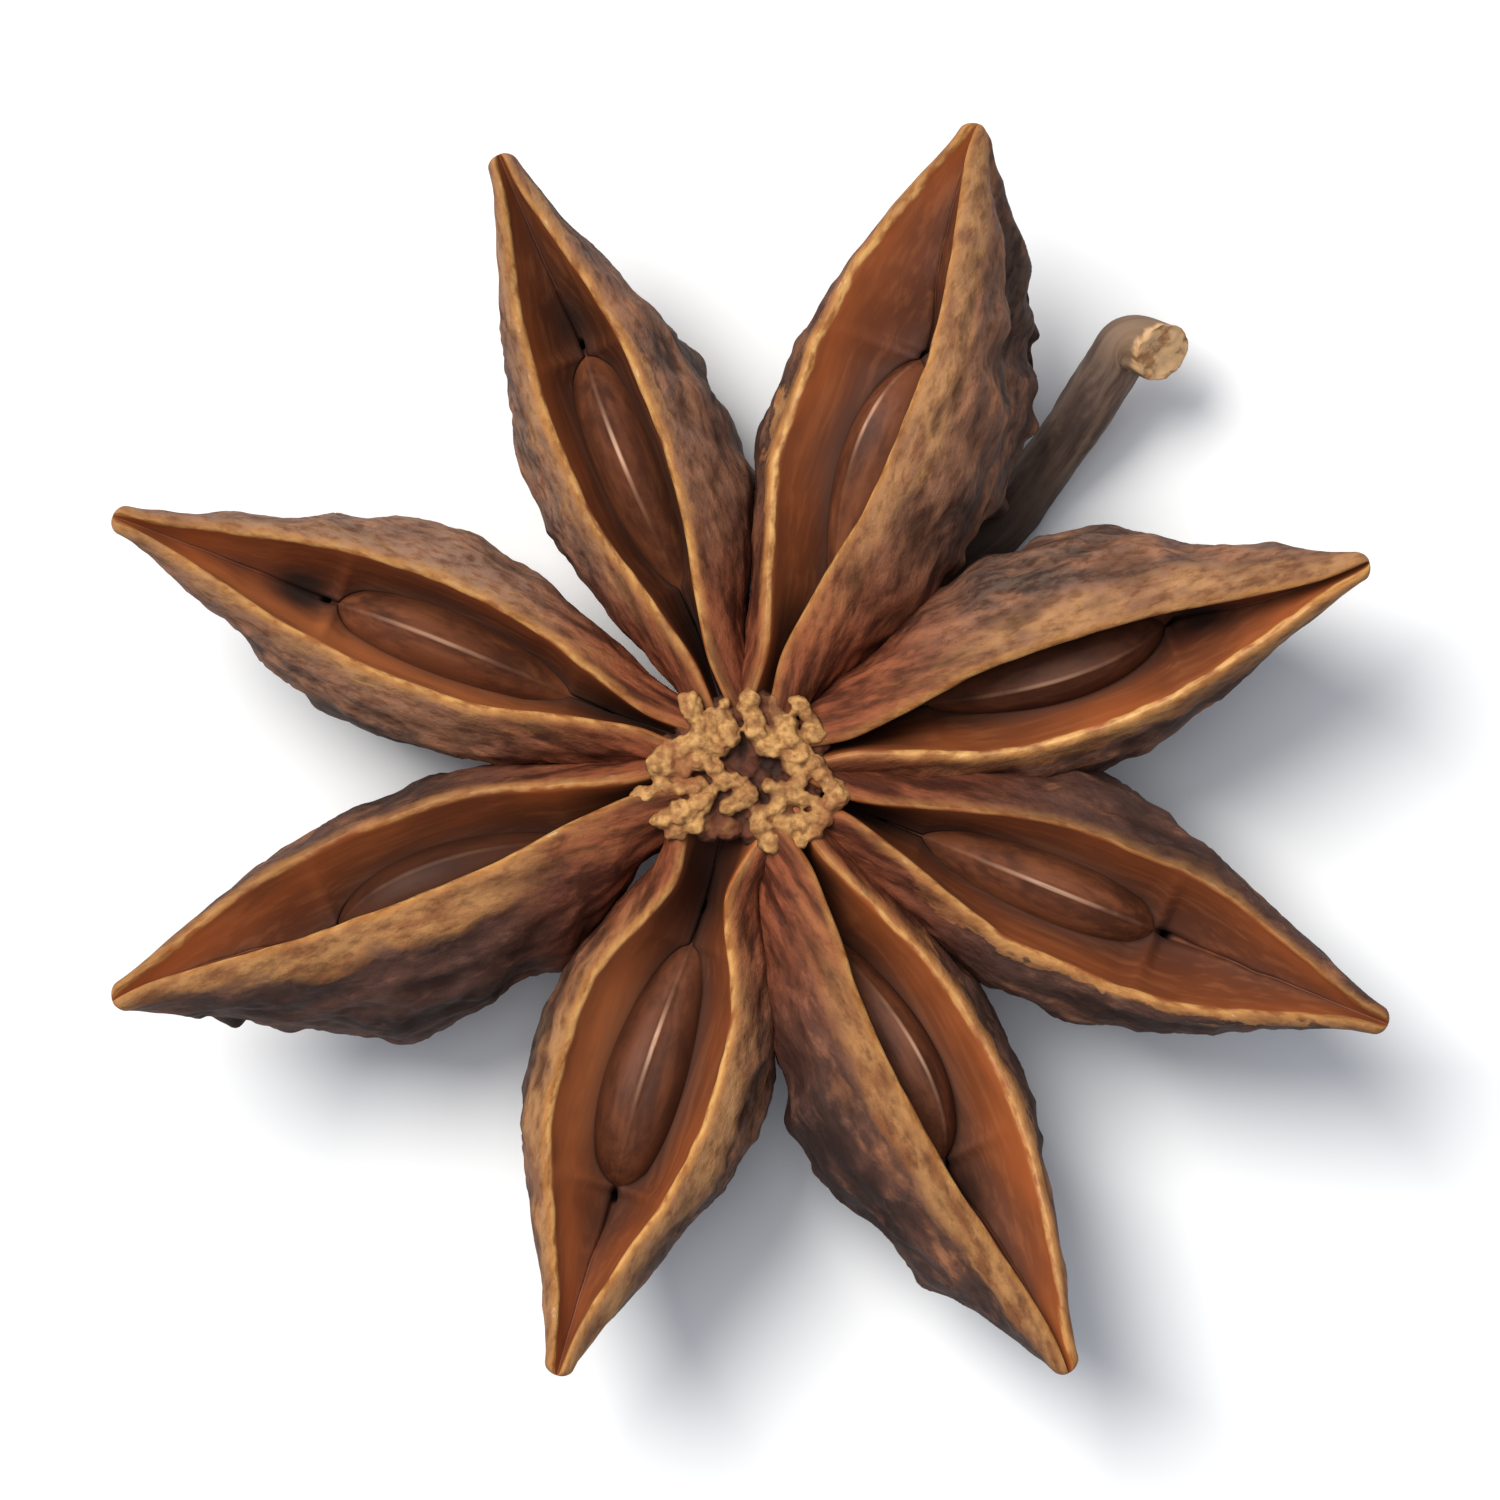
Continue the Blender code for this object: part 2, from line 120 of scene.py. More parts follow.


# Each pod as in the CAD, with its looks. A pair of values is for its left and its right side.
#   lumps: each large bump's distance from the column, place across the skin, height, length and width
#   fullness: of its seed, where that isn't the usual one
#   tan: how many millimetres the pale band spreads from the rim down the flank
#   patches: how much of the flank is tan instead of dark, from 0 to 1
#   dust_and_sheen: how greyed and lightened the flank is, partly by grey dust and partly by painted sheen
#   gilt: how bright the line along the rim is
#   painted_shading: painted shade on the lining where it lies in shade; below 0, painted light where it is lit
#   seed_shade: how much painted shade darkens its seed
#   streak: the middle of the painted highlight along its seed's top, from -1 to 1, and how strong its short and long
#       part are
#   pit_shade: how much painted shade darkens the outer end of its nest
PODS = {
    "c": dict(bearing=17.8, length=17.6, opening=2.55, shift=0.0, offset=-0.68, roll=-18.5,
              mouth=0.25, body=6.3, depth=7.6, rims=8.2, rise=0.6, ragged=3.1,
              lumps=((11.3, 0.75, 0.6, 0.8, 1.2), (5.6, 0.7, 0.1, 1.4, 1.4), (8.3, 0.6, 0.2, 0.7, 1.0),
                     (13.4, 0.7, -0.45, 1.2, 1.2)),
              tan=(0.9, 0.5), patches=(0.6, 0.2), dust_and_sheen=(0.4, 0.1), gilt=(0.8, 1.0),
              painted_shading=(0.6, 0.1), seed_shade=0.5, streak=(0.1, 0.1, 0.32), pit_shade=0.9),
    "b": dict(bearing=70.6, length=18.3, opening=3.6, shift=0.07, offset=0.57, roll=35,
              mouth=0.35, body=5.7, depth=7.8, rims=8.3, rise=1.0, ragged=5.7,
              lumps=((15.2, -0.85, 0.3, 1.3, 1.3), (9.2, -0.8, -0.15, 1.6, 1.3),
                     (12.9, -0.58, -0.6, 3.6, 0.55), (11.2, -0.85, 0.15, 1.5, 1.3), (9.5, 0.15, 0.3, 3.5, 1.0)),
              tan=(0.2, 1.0), patches=(0.3, 0.9), dust_and_sheen=(0.1, 0.3), gilt=(1.0, 0.8), painted_shading=(0.3, 0.65),
              seed_shade=0.1, streak=(0.45, 0.75, 0.15), pit_shade=0.35),
    "a": dict(bearing=112.2, length=17.7, opening=2.55, shift=0.055, offset=0.11, roll=6.5,
              mouth=0.25, body=5.3, depth=8.2, rims=8.08, rise=0.9, ragged=8.2,
              lumps=((10.6, -0.65, 0.6, 0.6, 1.1), (7.0, -0.5, 0.5, 1.6, 1.6), (12.0, -0.7, -0.4, 1.0, 1.4)),
              tan=(0.45, 0.2), patches=(0.45, 0.5), dust_and_sheen=(0.6, 0.4), gilt=(1.0, 0.9), painted_shading=(0.35, 0.8),
              seed_shade=0.25, streak=(0.25, 0.95, 0.25), pit_shade=0.8),
    "h": dict(bearing=158.5, length=18.3, opening=2.8, shift=0.015, offset=-0.16, roll=-3.5,
              mouth=0.3, body=5.6, depth=7.7, rims=8.1, rise=0.7, ragged=11.9,
              lumps=((9.4, -0.4, 0.2, 1.4, 1.4), (11.0, 0.5, 0.25, 1.5, 1.5)),
              tan=(0.3, 0.5), patches=(0.6, 0.8), dust_and_sheen=(0.35, 0.8), gilt=(0.9, 0.8), painted_shading=(-0.75, 0.8),
              seed_shade=0.2, streak=(0.2, 0.1, 0.4), pit_shade=1.0),
    "g": dict(bearing=200.0, length=18.2, opening=2.5, shift=0.045, offset=-0.84, roll=-29,
              mouth=0.3, body=5.9, depth=7.8, rims=7.9, rise=0.3, ragged=14.4,
              lumps=((10.6, 0.7, 0.25, 1.6, 1.6), (6.2, 0.6, 0.3, 1.4, 1.4)),
              tan=(1.0, 0.15), patches=(-0.1, 0.2), dust_and_sheen=(0.0, 0.1), gilt=(1.0, 0.4), painted_shading=(0.5, 0.25),
              seed_shade=0.8, streak=(0.2, 0.0, 0.1), pit_shade=0.3),
    "f": dict(bearing=252.6, length=17.2, opening=4.1, shift=-0.02, offset=-0.27, roll=-7,
              mouth=1.5, body=6.15, depth=7.9, rims=7.65, rise=0.4, ragged=17.2,
              lumps=((8.2, 0.5, -0.1, 1.3, 1.3), (11.6, -0.5, -0.3, 1.3, 1.3)),
              fullness=2.6, tan=(0.8, 0.7), patches=(0.35, 0.45), dust_and_sheen=(0.3, 0.3),
              gilt=(1.0, 1.0), painted_shading=(0.3, -0.35), seed_shade=0.3, streak=(-0.05, 0.85, 0.25), pit_shade=0.65),
    "e": dict(bearing=298.3, length=18.5, opening=2.7, shift=0.025, offset=0.8, roll=27,
              mouth=0.3, body=6.1, depth=7.9, rims=8.1, rise=0.2, ragged=20.6,
              lumps=((7.6, -0.7, -0.55, 1.3, 1.3), (12.2, -0.8, -0.45, 1.2, 1.2)),
              tan=(0.25, 0.9), patches=(0.1, 0.15), dust_and_sheen=(0.1, 0.0), gilt=(0.7, 1.0), painted_shading=(0.1, 0.5),
              seed_shade=0.3, streak=(0.2, 0.4, 0.35), pit_shade=0.8),
    "d": dict(bearing=338.0, length=18.6, opening=3.5, shift=0.05, offset=0.0, roll=0,
              mouth=0.25, body=6.0, depth=8.0, rims=8.0, rise=0.5, ragged=23.3,
              lumps=((8.8, 0.45, 0.3, 1.5, 1.5), (12.6, -0.6, 0.3, 1.3, 1.3)),
              tan=(0.15, 0.15), patches=(0.05, 0.05), dust_and_sheen=(0.0, 0.05), gilt=(0.35, 0.75), painted_shading=(0.3, 0.35),
              seed_shade=0.1, streak=(0.2, 0.3, 0.45), pit_shade=0.5),
}
OPENING_LINE = smooth_line([(0.0, 0.0), (0.13, 0.04), (0.26, 0.45), (0.38, 0.88), (0.52, 1.0), (0.66, 0.88),
                            (0.82, 0.44), (0.93, 0.14), (1.0, 0.03)])
BODY_LINE = smooth_line([(0.0, 0.30), (0.14, 0.38), (0.32, 0.80), (0.50, 1.0), (0.62, 0.90), (0.76, 0.60),
                         (0.89, 0.30), (1.0, 0.08)])
KEEL_LINE = smooth_line([(0.0, 0.54), (0.12, 0.58), (0.27, 0.74), (0.42, 0.93), (0.55, 1.0), (0.68, 0.93),
                         (0.80, 0.69), (0.92, 0.34), (1.0, 0.08)])
GROOVE_LINE = smooth_line([(0.0, 0.03), (0.12, 0.14), (0.24, 0.28), (0.5, 0.34), (0.66, 0.28), (0.76, 0.20),
                           (0.86, 0.12), (0.94, 0.07), (1.0, 0.035)])
ROLL_LINE = smooth_line([(0.0, 0.20), (0.12, 0.55), (0.26, 0.90), (0.40, 1.0), (1.0, 1.0)])
STALK_ROUTE = [(0.0, 0.0, 4.0, 1.9), (0.1, 0.1, 2.7, 1.55), (0.8, 0.8, 1.5, 1.15), (2.2, 2.2, 0.95, 1.0),
               (4.4, 4.4, 0.9, 1.0), (6.8, 6.4, 0.95, 1.0), (7.95, 7.85, 1.3, 0.98), (8.95, 9.25, 2.0, 1.0),
               (9.85, 10.65, 2.9, 1.02), (10.4, 11.4, 3.5, 1.05), (11.3, 11.2, 3.8, 1.05)]
# Strings of torn tissue on the column: half their thickness, then the route of each
CURDS = [
    (0.3, (-1.52, 1.7), (-1.42, 1.35), (-1.2, 1.0)),
    (0.2, (0.75, 1.75), (0.85, 1.35), (1.2, 1.15)),
    (0.2, (-0.95, 1.35), (-0.9, 0.95)),
    (0.24, (0.95, -0.95), (0.7, -1.25), (0.95, -1.5)),
    (0.2, (-1.25, -0.5), (-1.7, -0.65), (-2.1, -0.6)),
    (0.18, (1.9, -1.85), (1.5, -2.05), (1.1, -1.95)),
    (0.33, (-2.4, -0.05), (-2.1, 0.3), (-1.65, 0.5), (-1.15, 0.62), (-0.8, 0.5)),
    (0.27, (-1.95, -0.15), (-1.55, 0.05), (-1.1, 0.08), (-0.8, -0.05)),
    (0.31, (0.05, 1.75), (0.12, 1.25), (0.3, 0.85), (0.65, 0.5), (1.05, 0.5)),
    (0.27, (1.0, 0.95), (1.3, 0.5), (1.7, 0.1), (2.1, -0.3), (2.4, -0.7), (2.25, -1.05)),
    (0.25, (1.4, 1.6), (1.75, 1.3), (1.85, 0.9)),
    (0.26, (-0.7, -0.35), (-0.3, -0.45), (0.0, -0.7), (-0.15, -1.05), (-0.55, -1.05)),
    (0.27, (-2.35, -1.5), (-1.85, -1.3), (-1.35, -1.1), (-1.0, -0.75)),
    (0.23, (-2.0, -1.85), (-1.55, -1.6), (-1.2, -1.5)),
    (0.26, (0.35, -1.3), (0.4, -1.75), (0.75, -2.15)),
    (0.28, (0.8, -1.6), (1.3, -1.6), (1.8, -1.5), (2.25, -1.35)),
    (0.23, (1.15, -0.75), (1.55, -0.95), (1.9, -1.05)),
    (0.22, (-2.95, -0.9), (-2.55, -0.75), (-2.2, -0.5)),
    (0.22, (-0.55, 1.6), (-0.5, 1.15), (-0.4, 0.75)),
    (0.24, (0.8, 0.8), (1.0, 0.35), (1.3, -0.1), (1.5, -0.5)),
    (0.2, (0.6, -0.5), (0.95, -0.65), (1.3, -0.5)),
]
CURD_STEP = 0.11
CURD_SWAY = 0.14
BED_LUMPS = 70  # of tissue under the strings
BED_HALF = (2.25, 1.9)
BED_MIDDLE = -0.1
BED_SINK = 0.32
PAIRS = ("tan", "patches", "dust_and_sheen", "gilt", "painted_shading")  # values of a pod's left and right side

# Mesh steps
POD_STATIONS = 170
POD_START = 0.07
FLANK_STEPS = 46
LIP_STEPS = 6
SLOPE_STEPS = 12
NEST_STEPS = 14
STALK_STATIONS = 150
STALK_SIDES = 48
CURD_VOXEL = 0.055


# Shapes

def along(line, place):
    """The value of a line at a place, on a smooth curve through its points."""
    places, values, slopes = line
    i = min(max(bisect(places, place) - 1, 0), len(places) - 2)
    span = places[i + 1] - places[i]
    t = min(1.0, max(0.0, (place - places[i]) / span))
    return ((2 * t**3 - 3 * t**2 + 1) * values[i] + (t**3 - 2 * t**2 + t) * span * slopes[i]
            + (3 * t**2 - 2 * t**3) * values[i + 1] + (t**3 - t**2) * span * slopes[i + 1])


def bezier(corners, t):
    """Points at shares t of a curve of four control points, as an array of rows."""
    a, b, c, d = np.array(corners, float)
    t = np.atleast_1d(t)[:, None]
    return (1 - t) ** 3 * a + 3 * t * (1 - t) ** 2 * b + 3 * t**2 * (1 - t) * c + t**3 * d


def ease(value):
    """A smooth step from 0 to 1."""
    value = min(1.0, max(0.0, value))
    return value * value * (3 - 2 * value)


def seed_girth(place):
    """How wide a seed is at a place from -1 to 1, as a share of its widest: an egg's line."""
    return math.sqrt(max(0.0, 1 - place**2)) * (0.96 + 0.34 * place - 0.16 * place**2)


def rough(x, y, z):
    """Smooth noise from -1 to 1."""
    return noise.noise(Vector((x, y, z)))


def ridged(x, y, z):
    """Noise with sharp crests, from 0 to 1."""
    return 1 - min(1.0, 2.2 * abs(noise.noise(Vector((x, y, z)))))


def folds(pod, s, size, side, t):
    """The large folds of the skin that the CAD has, at share t of the way from rim to keel on side 1 or -1."""
    seam = ease((t - 0.82) / 0.18)
    fold = (1 - seam) * rough(0.75 * s, 1.9 * t * side, pod["ragged"]) + seam * rough(0.75 * s, 0, pod["ragged"])
    jag = rough(1.5 * s, 0.4 * side * (1 - t), pod["ragged"] + 40)
    lumps = sum(height * math.exp(-((s - out) / long) ** 2 - (FLANK_SPAN * (t * side - down) / wide) ** 2)
                for out, down, height, long, wide in pod["lumps"])
    return (size * (FOLD_HEIGHT * fold * math.sin(math.pi * min(1, t * 1.1) / 2) + JAG_HEIGHT * jag * t**4)
            + lumps)


def skin_detail(pod, u, x, y, down, t):
    """The fine relief of the dry skin: striations by the column, crumple and grain further out, teeth on the keel."""
    s = u * pod["length"]
    seed = pod["ragged"]
    near = ease((0.55 - u) / 0.4)
    calm = ease(down / 0.7)
    size = min(1.0, 0.25 + 2.2 * (1 - u))
    striae = STRIATION * rough(s / 3.2 + seed, x / 0.42, y / 0.42)
    crumple = CRUMPLE * (ridged(s / 2.6 + seed, x / 1.1, y / 1.1) - 0.45)
    crumple += 0.45 * CRUMPLE * (ridged(s / 1.3 + seed, x / 0.55, y / 0.55 + 5) - 0.45)
    grain = GRAIN * rough(s / 0.4 + seed, x / 0.26, y / 0.26)
    teeth = TEETH * rough(s / 0.55 + seed, 0, 3.3) * t**5
    return size * calm * (near * striae + (1 - 0.75 * near) * crumple + grain + teeth)


def seam(pod, u, side):
    """A pod's opening at share u: half its width, the distance from its middle to the rim's outer edge, and half its
    width without slit, mouth and waves."""
    s = u * pod["length"]
    wave = (LONG_WAVE * rough(s / 2.2, 7 * side, pod["ragged"])
            + SHORT_WAVE * rough(s / 0.7, 7 * side, pod["ragged"] + 9))
    wide = pod["opening"] / 2 * along(OPENING_LINE, u - pod["shift"] * SHIFT_SPREAD * u**2 * (1 - u))
    opening = (SLIT_HALF**4 + (pod["mouth"] * (1 - u) ** 4) ** 4 + (wide * (1 + 0.5 * wave)) ** 4) ** 0.25
    lip = opening + RIM_LIP * (1 - 0.7 * u**6) * (1 + 2.2 * wave * min(1, wide))
    return opening, lip, wide


def inner_section(pod, u, opening, lip, wide):
    """The nest and the lining over it at share u, from the bottom up to the rim: points across and up, distance from
    the rim (negative), how much painted shade lies there in the nest or crease, and how far the crease wanders."""
    place = (u * pod["length"] - SEED_MIDDLE) / (SEED_LENGTH / 2)  # from -1 to 1 along the seed
    girth = seed_girth(place / NEST_SLACK)
    past = ease((abs(place) - 1) / 0.5)
    nested = 1 - past

    seed_top = SEED_TOP + SEED_HEIGHT / 2 * (1 - girth)
    brim = seed_top + SHOULDER * girth
    brim = min(brim, NEST_BRIM + 0.35 * (brim - NEST_BRIM))
    level = min(1, max(0, (brim - seed_top) / (SEED_HEIGHT / 2 * max(0.05, girth))))
    fullness = pod.get("fullness", SEED_FULLNESS)
    shoulder = max(0, (1 - (1 - level) ** fullness) ** (1 / fullness) * SEED_WIDTH / 2 * girth + NEST_GAP)
    cleft = (CREASE * opening * nested + CREASE_HALF * past) * ease((abs(place) - 0.9) / 0.15)
    edge = max(CREASE_HALF, min(0.8 * opening, math.hypot(shoulder, cleft)))
    drop = (0.9 + 0.1 * past) * pod["depth"] * along(GROOVE_LINE, u) * past + brim * nested
    bottom = max(drop + 0.01 + NEST_ROOM * nested,
                 (SEED_TOP + SEED_HEIGHT / 2 * (1 + girth) + NEST_ROOM) * ease((1.16 - abs(place)) / 0.14))
    bulge = max(1.1 * edge, 1.32 * SEED_WIDTH / 2 * girth * nested)
    nest = bezier([(0, -bottom), (bulge, -bottom), (bulge, -0.8 * drop - 0.2 * bottom), (edge, -drop)],
                  np.linspace(0, 1, NEST_STEPS + 1))
    run = opening - edge
    valley = 0.1 * nested + VALLEY * past
    slope = bezier([(edge, -drop), (edge + 0.32 * run, -(1 - valley) * drop), (opening - 0.16 * run, -0.42 * drop),
                    (opening, -LIP_SINK)], np.linspace(0, 1, SLOPE_STEPS + 1))[1:]

    points = np.vstack([nest, slope])
    lengths = np.linalg.norm(np.diff(points[::-1], axis=0), axis=1)
    depths = -np.concatenate([[0], np.cumsum(lengths)])[::-1] - RIM_LINE * (lip - opening)
    sunk = np.concatenate([np.ones(len(nest)), np.linspace(1, 0, SLOPE_STEPS + 1)[1:]])
    # painted shade in the pits just past both ends of the seed
    pit_shade = (pod["pit_shade"] if place > 0 else INNER_PIT_SHADE) * math.exp(-((abs(place) - 1.2) / 0.26) ** 2)
    # painted shade: low in the nest, along the crease past the seed, and in the pits
    hollow_shade = [max(0.75 * nested * ease((share - 0.42) / 0.58), 0.35 * past * ease((share - 0.6) / 0.4),
                  pit_shade * ease((share - 0.36) / 0.5)) for share in sunk.tolist()]
    hollow_shade[:NEST_STEPS] = [max(0.35, pit_shade, ease((1.2 - abs(place)) / 0.2))] * NEST_STEPS
    wander = (CREASE_WANDER * rough(u * pod["length"] / 0.8, 5, pod["ragged"] + 60)
              * past * ease((1 - u) / 0.15) * min(1, wide))
    return points, depths, hollow_shade, wander * sunk**2


def rim_section(pod, u, side, opening, lip):
    """The rounded top of a rim at share u, from its inner to its outer edge: points and distance from the rim line."""
    thick = (lip - opening) / RIM_LIP
    f = np.linspace(0, 1, LIP_STEPS + 1)[1:]
    crown = LIP_CROWN * thick * np.sin(math.pi * f**0.75) - LIP_DROP * thick * f**2 - LIP_SINK * (1 - f)
    bumps = LIP_ROUGHNESS * rough(u * pod["length"] / 0.9, 3 * side, pod["ragged"] + 20)
    crown += bumps * np.sin(math.pi * (0.15 + 0.7 * f))
    return np.column_stack([opening + (lip - opening) * f, crown]), (f - RIM_LINE) * (lip - opening)


def outer_section(pod, u, side, opening, lip):
    """The skin at share u, from the rim down to the keel: points with the large folds in them, normals, distance from
    the rim and fine relief."""
    s = u * pod["length"]
    body = max(lip + 0.06, pod["body"] / 2 * along(BODY_LINE, u))
    depth = pod["depth"] * along(KEEL_LINE, u)
    flank = (body - 0.216 * lip) / 0.576  # so that the curve is as wide as the body 0.4 of the way down
    t = np.linspace(0, 1, FLANK_STEPS + 1)
    corners = [(lip, -LIP_DROP * (lip - opening) / RIM_LIP), (flank, -0.25 * depth), (flank / 2, -0.75 * depth),
               (0, -depth)]
    skin = bezier(corners, t)
    tangent = bezier(corners, np.minimum(1, t + 0.01)) - bezier(corners, np.maximum(0, t - 0.01))
    tangent /= np.linalg.norm(tangent, axis=1)[:, None]
    out = np.column_stack([-tangent[:, 1], tangent[:, 0]])
    lengths = np.linalg.norm(np.diff(skin, axis=0), axis=1)
    down = np.concatenate([[0], np.cumsum(lengths)]) + 0.5 * (lip - opening)
    size = min(1, max(0, along(KEEL_LINE, u) - 0.1) * 1.6)
    coarse = np.array([folds(pod, s, size, side, share) for share in t.tolist()])
    skin = skin + out * coarse[:, None]
    fine = np.array([skin_detail(pod, u, side * x, y, d, share)
                     for (x, y), d, share in zip(skin.tolist(), down.tolist(), t.tolist())])
    return skin, out, down, fine


def half_section(pod, u, side):
    """Half a pod's wall at share u, from the bottom of the nest over the rim down to the keel: points across and up,
    the skin's normals, distance from the rim (negative inside), relief and painted shade in the nest or crease."""
    opening, lip, wide = seam(pod, u, side)
    inner, inner_depths, hollow_shade, wander = inner_section(pod, u, opening, lip, wide)
    rim, rim_depths = rim_section(pod, u, side, opening, lip)
    skin, out, down, fine = outer_section(pod, u, side, opening, lip)
    smooth = len(inner) + LIP_STEPS
    points = np.vstack([inner, rim, skin[1:]])
    normals = np.vstack([np.zeros((smooth, 2)), out[1:]])
    points[:, 0] *= side
    normals[:, 0] *= side
    points[:len(inner), 0] += wander
    depths = np.concatenate([inner_depths, rim_depths, down[1:]])
    relief = np.concatenate([np.zeros(smooth), fine[1:]])
    return points, normals, depths, relief, np.concatenate([hollow_shade, np.zeros(LIP_STEPS + FLANK_STEPS)])


def pod_axis(pod, u):
    """The middle of a pod's opening at share u, its left direction and its up direction, with the roll in them."""
    bearing = math.radians(pod["bearing"])
    out = np.array((math.cos(bearing), math.sin(bearing), 0))
    left = np.array((-out[1], out[0], 0))
    arch = 4 * u * (1 - u)
    height = pod["rims"] + pod["rise"] * (u**2 - 0.25) + (COLUMN_TOP - pod["rims"]) * (1 - u) ** 3
    middle = out * u * pod["length"] + left * arch * pod["offset"] + np.array((0, 0, height))
    roll = math.radians(pod["roll"] * along(ROLL_LINE, u))
    up = np.array((0, 0, 1))
    return middle, left * math.cos(roll) - up * math.sin(roll), left * math.sin(roll) + up * math.cos(roll)


def only(piece):
    """Selects one piece alone."""
    bpy.ops.object.select_all(action="DESELECT")
    piece.select_set(True)
    bpy.context.view_layer.objects.active = piece


def carry(piece, name, values):
    """Gives each point of a piece a number, or a place in millimetres, that its finish reads."""
    values = np.array(values, np.float32)
    kind, what = ("FLOAT_VECTOR", "vector") if values.size == 3 * len(piece.data.vertices) else ("FLOAT", "value")
    piece.data.attributes.new(name, kind, "POINT").data.foreach_set(what, values.ravel())


def face_outwards(piece):
    """Turns the faces of a closed piece outwards and shades it smooth."""
    only(piece)
    bpy.ops.object.mode_set(mode="EDIT")
    bpy.ops.mesh.select_all(action="SELECT")
    bpy.ops.mesh.normals_make_consistent(inside=False)
    bpy.ops.object.mode_set(mode="OBJECT")
    bpy.ops.object.shade_smooth()


def tube(name, rings, marks):
    """A closed skin over rings of points: a grid primitive laid through them, its seam welded and both ends filled.
    marks are what each point carries, by name."""
    stations, around = rings.shape[:2]
    bpy.ops.mesh.primitive_grid_add(x_subdivisions=around - 1, y_subdivisions=stations - 1, size=1)
    piece = bpy.context.object
    piece.name = piece.data.name = name
    piece.data.vertices.foreach_set("co", rings.astype(np.float32).ravel())
    for mark, values in marks.items():
        carry(piece, mark, values)
    only(piece)
    bpy.ops.object.mode_set(mode="EDIT")
    bpy.ops.mesh.select_all(action="SELECT")
    bpy.ops.mesh.remove_doubles(threshold=WELD)
    bpy.ops.mesh.select_mode(type="EDGE")
    bpy.ops.mesh.select_all(action="DESELECT")
    bpy.ops.mesh.select_non_manifold()
    bpy.ops.mesh.fill()
    bpy.ops.object.mode_set(mode="OBJECT")
    face_outwards(piece)
    return piece


def pod_piece(letter, pod):
    """One boat-shaped pod with its open seam, lined inside and wrinkled outside."""
    rings, marks = [], {name: [] for name in ("local", "below", "out", "relief", "hollow_shade", *PAIRS)}
    stations = [(u, 1.0) for u in np.linspace(POD_START, TIP_ROUNDING, POD_STATIONS)]
    stations += [(TIP_ROUNDING + (1 - TIP_ROUNDING) * k, math.sqrt(1 - k * k)) for k in TIP_STEPS]
    for u, shrink in stations:
        middle, left, up = pod_axis(pod, u)
        halves = [half_section(pod, u, side) for side in (1, -1)]
        points, normals, depths, fine, hollow_shade = (np.concatenate([one, other[-2::-1]]) for one, other in zip(*halves))
        points = points * shrink + np.array((0, -0.04 * pod["depth"])) * (1 - shrink)
        plain = middle + points[:, :1] * left + points[:, 1:] * up
        lift = np.clip((plain[:, 2] - 0.05) / 0.45, 0, 1)  # no relief where it lies on the floor
        fine = fine * lift * lift * (3 - 2 * lift) * shrink
        points = points + normals * fine[:, None]
        places = middle + points[:, :1] * left + points[:, 1:] * up
        places[:, 2] = np.maximum(0, places[:, 2])
        rings.append(places)
        leftness = np.clip((points[:, 0] / 1.5 + 1) / 2, 0, 1)
        marks["local"].append(np.column_stack([np.full(len(points), u * pod["length"] + 31 * pod["ragged"]), points]))
        marks["below"].append(depths)
        marks["out"].append(np.full(len(points), u))
        marks["relief"].append(fine / CRUMPLE)
        marks["hollow_shade"].append(hollow_shade)
        for name in PAIRS:
            marks[name].append(pod[name][1] + (pod[name][0] - pod[name][1]) * leftness)
    piece = tube(f"pod_{letter}", np.array(rings), marks)
    piece.data.materials.append(SKIN)
    piece.data.materials.append(LINING)
    below = np.zeros(len(piece.data.vertices), np.float32)
    piece.data.attributes["below"].data.foreach_get("value", below)
    for face in piece.data.polygons:  # lining inside the rims, skin outside
        face.material_index = int(below[face.vertices[0]] + below[face.vertices[2]] < -0.2)
    return piece


def seed_piece(letter, pod):
    """A seed on edge in its pod: a smooth egg with a fine raised line along its top."""
    bpy.ops.mesh.primitive_uv_sphere_add(segments=96, ring_count=56, radius=1)
    piece = bpy.context.object
    piece.name = piece.data.name = f"glossy_seed_{letter}"
    local, painted_streaks, sides = [], [], []
    streak_middle, short_streak, long_streak = pod["streak"]
    axes = {}
    for vert in piece.data.vertices:
        x, y, z = vert.co
        if round(z, 5) not in axes:
            axes[round(z, 5)] = pod_axis(pod, (SEED_MIDDLE + z * SEED_LENGTH / 2) / pod["length"])
        middle, left, up = axes[round(z, 5)]
        power = pod.get("fullness", SEED_FULLNESS) if y > 0 else 2
        size = max(1e-9, (abs(x) ** power + abs(y) ** power) ** (1 / power))
        girth = 0 if abs(z) > 0.9999 else seed_girth(z)
        x, y = x / size, y / size
        crest = max(0, y) * math.exp(-(x / 0.07) ** 2)
        across = x * girth * SEED_WIDTH / 2
        above = (y * SEED_HEIGHT / 2 + STREAK_HEIGHT * crest) * girth - SEED_TOP - SEED_HEIGHT / 2
        vert.co = Vector(middle + left * across + up * above)
        local.append((SEED_MIDDLE + z * SEED_LENGTH / 2 + 31 * pod["ragged"], across, above))
        # how strong the painted highlight along the seed's top is at each point
        off = z - streak_middle
        painted_streaks.append((y > 0) * (short_streak * math.exp(-(off / 0.16) ** 2)
                                 + long_streak * math.exp(-(off / 0.45) ** 2)))
        # how far round the seed a point is, for the painted shade on its sides and underside
        sides.append(1 if y < 0 else abs(x))
    for name, values in (("local", local), ("crest", painted_streaks), ("side", sides), ("seed_shade", [pod["seed_shade"]] * len(sides))):
        carry(piece, name, values)
    face_outwards(piece)
    piece.data.materials.append(SEED_COAT)
    return piece


